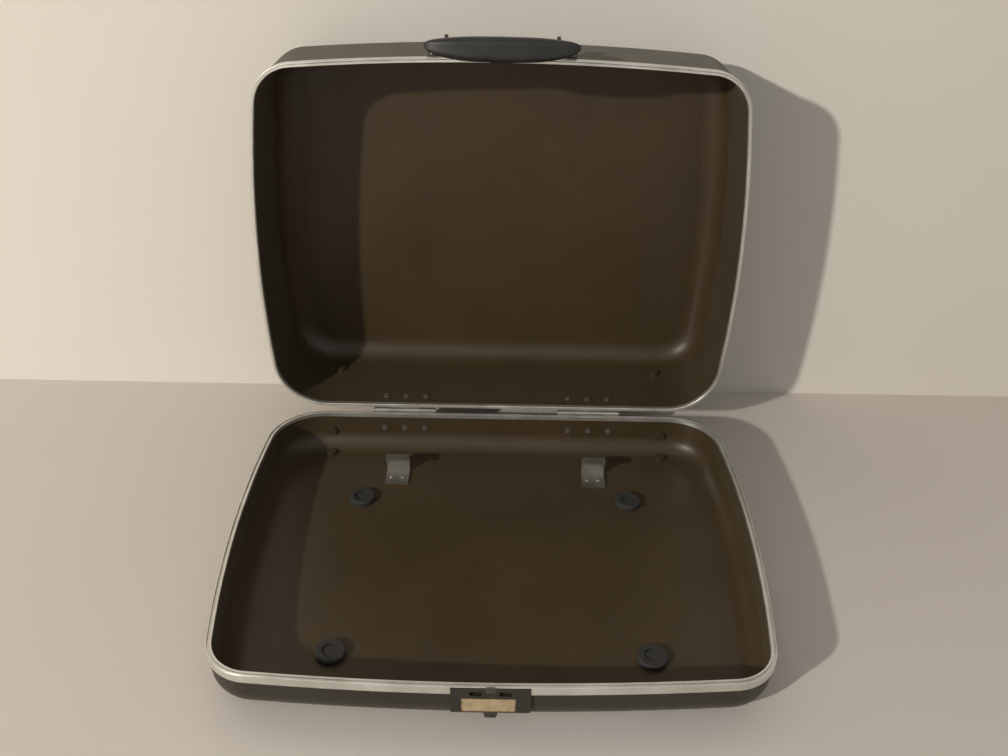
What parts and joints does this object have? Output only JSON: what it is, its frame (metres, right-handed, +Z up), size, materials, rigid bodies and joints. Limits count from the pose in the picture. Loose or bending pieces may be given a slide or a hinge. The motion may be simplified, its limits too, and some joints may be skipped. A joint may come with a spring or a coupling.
{
  "type": "portable typewriter case",
  "caption": "Two-part moulded carrying case with aluminium rims, hinged lid, swinging handle, sprung hasp latch and a push tab that frees the machine.",
  "frame": {"origin": "on the surface the feet stand on, below the middle of the open case's footprint", "axes": "+X to the case's right seen from the front, +Y towards the hinge side, +Z up; the lid stands open"},
  "size_m": [0.446, 0.4427, 0.4145],
  "materials": {
    "shell": "fine moulded texture outside, smooth semi-gloss inside",
    "valance": "satin",
    "dark_plate": "satin dark grey",
    "label": "aged, bare",
    "black_steel": "satin black",
    "steel": "plain",
    "hinge_steel": "zinc plated",
    "rivet": "plain",
    "rubber": "matt",
    "bracket": "satin grey",
    "grip": "soft sheen"
  },
  "bodies": {
    "base": {"base_shell": "shell", "base_valance": "valance", "strike_plate": "dark_plate", "strike_rivets": "rivet", "label_card": "label", "release_spring": "steel", "rubber_feet": "rubber", "foot_screws": "steel", "base_glides": "rubber", "base_glide_screws": "steel", "hinge_pins": "steel", "machine_pads": "rubber", "base_hinge_leaf_left": "hinge_steel", "base_hinge_leaf_right": "hinge_steel", "base_hinge_rivets": "rivet", "machine_hook_left": "hinge_steel", "machine_hook_right": "hinge_steel", "machine_hook_rivets": "rivet"},
    "lid": {"lid_shell": "shell", "lid_valance": "valance", "lid_glides": "rubber", "lid_glide_screws": "steel", "latch_plate": "black_steel", "latch_rivets": "rivet", "latch_rod": "steel", "latch_spring": "steel", "handle_pins": "steel", "lid_hinge_leaf_left": "hinge_steel", "lid_hinge_leaf_right": "hinge_steel", "lid_hinge_rivets": "rivet", "handle_bracket_left": "bracket", "handle_bracket_right": "bracket", "handle_rivets": "rivet"},
    "handle": {"handle_strap": "hinge_steel", "handle_screws": "steel", "handle_grip_inner": "grip", "handle_grip_outer": "grip"},
    "latch": {"latch_hasp": "black_steel"},
    "release": {"release_slide": "dark_plate"}
  },
  "joints": [
    {"name": "lid_hinge", "type": "hinge", "parent": "base", "child": "lid", "pos_m": [0, 0.1272, 0.0445], "axis": [1, 0, 0], "range_deg": [0, 90]},
    {"name": "handle_swing", "type": "hinge", "parent": "lid", "child": "handle", "pos_m": [0, 0.1432, 0.39742], "axis": [1, 0, 0], "range_deg": [-95, 0]},
    {"name": "latch_swing", "type": "hinge", "parent": "lid", "child": "latch", "pos_m": [0, 0.1812, 0.3942], "axis": [1, 0, 0], "range_deg": [-25, 0], "stiffness_Nm_per_rad": 0.05, "springref_deg": 28.65, "deforming": ["latch_spring"]},
    {"name": "release_push", "type": "slide", "parent": "base", "child": "release", "axis": [0, 0, 1], "range_m": [0, 0.0024], "stiffness_N_per_m": 300, "springref_m": -0.003, "deforming": ["release_spring"]}
  ]
}
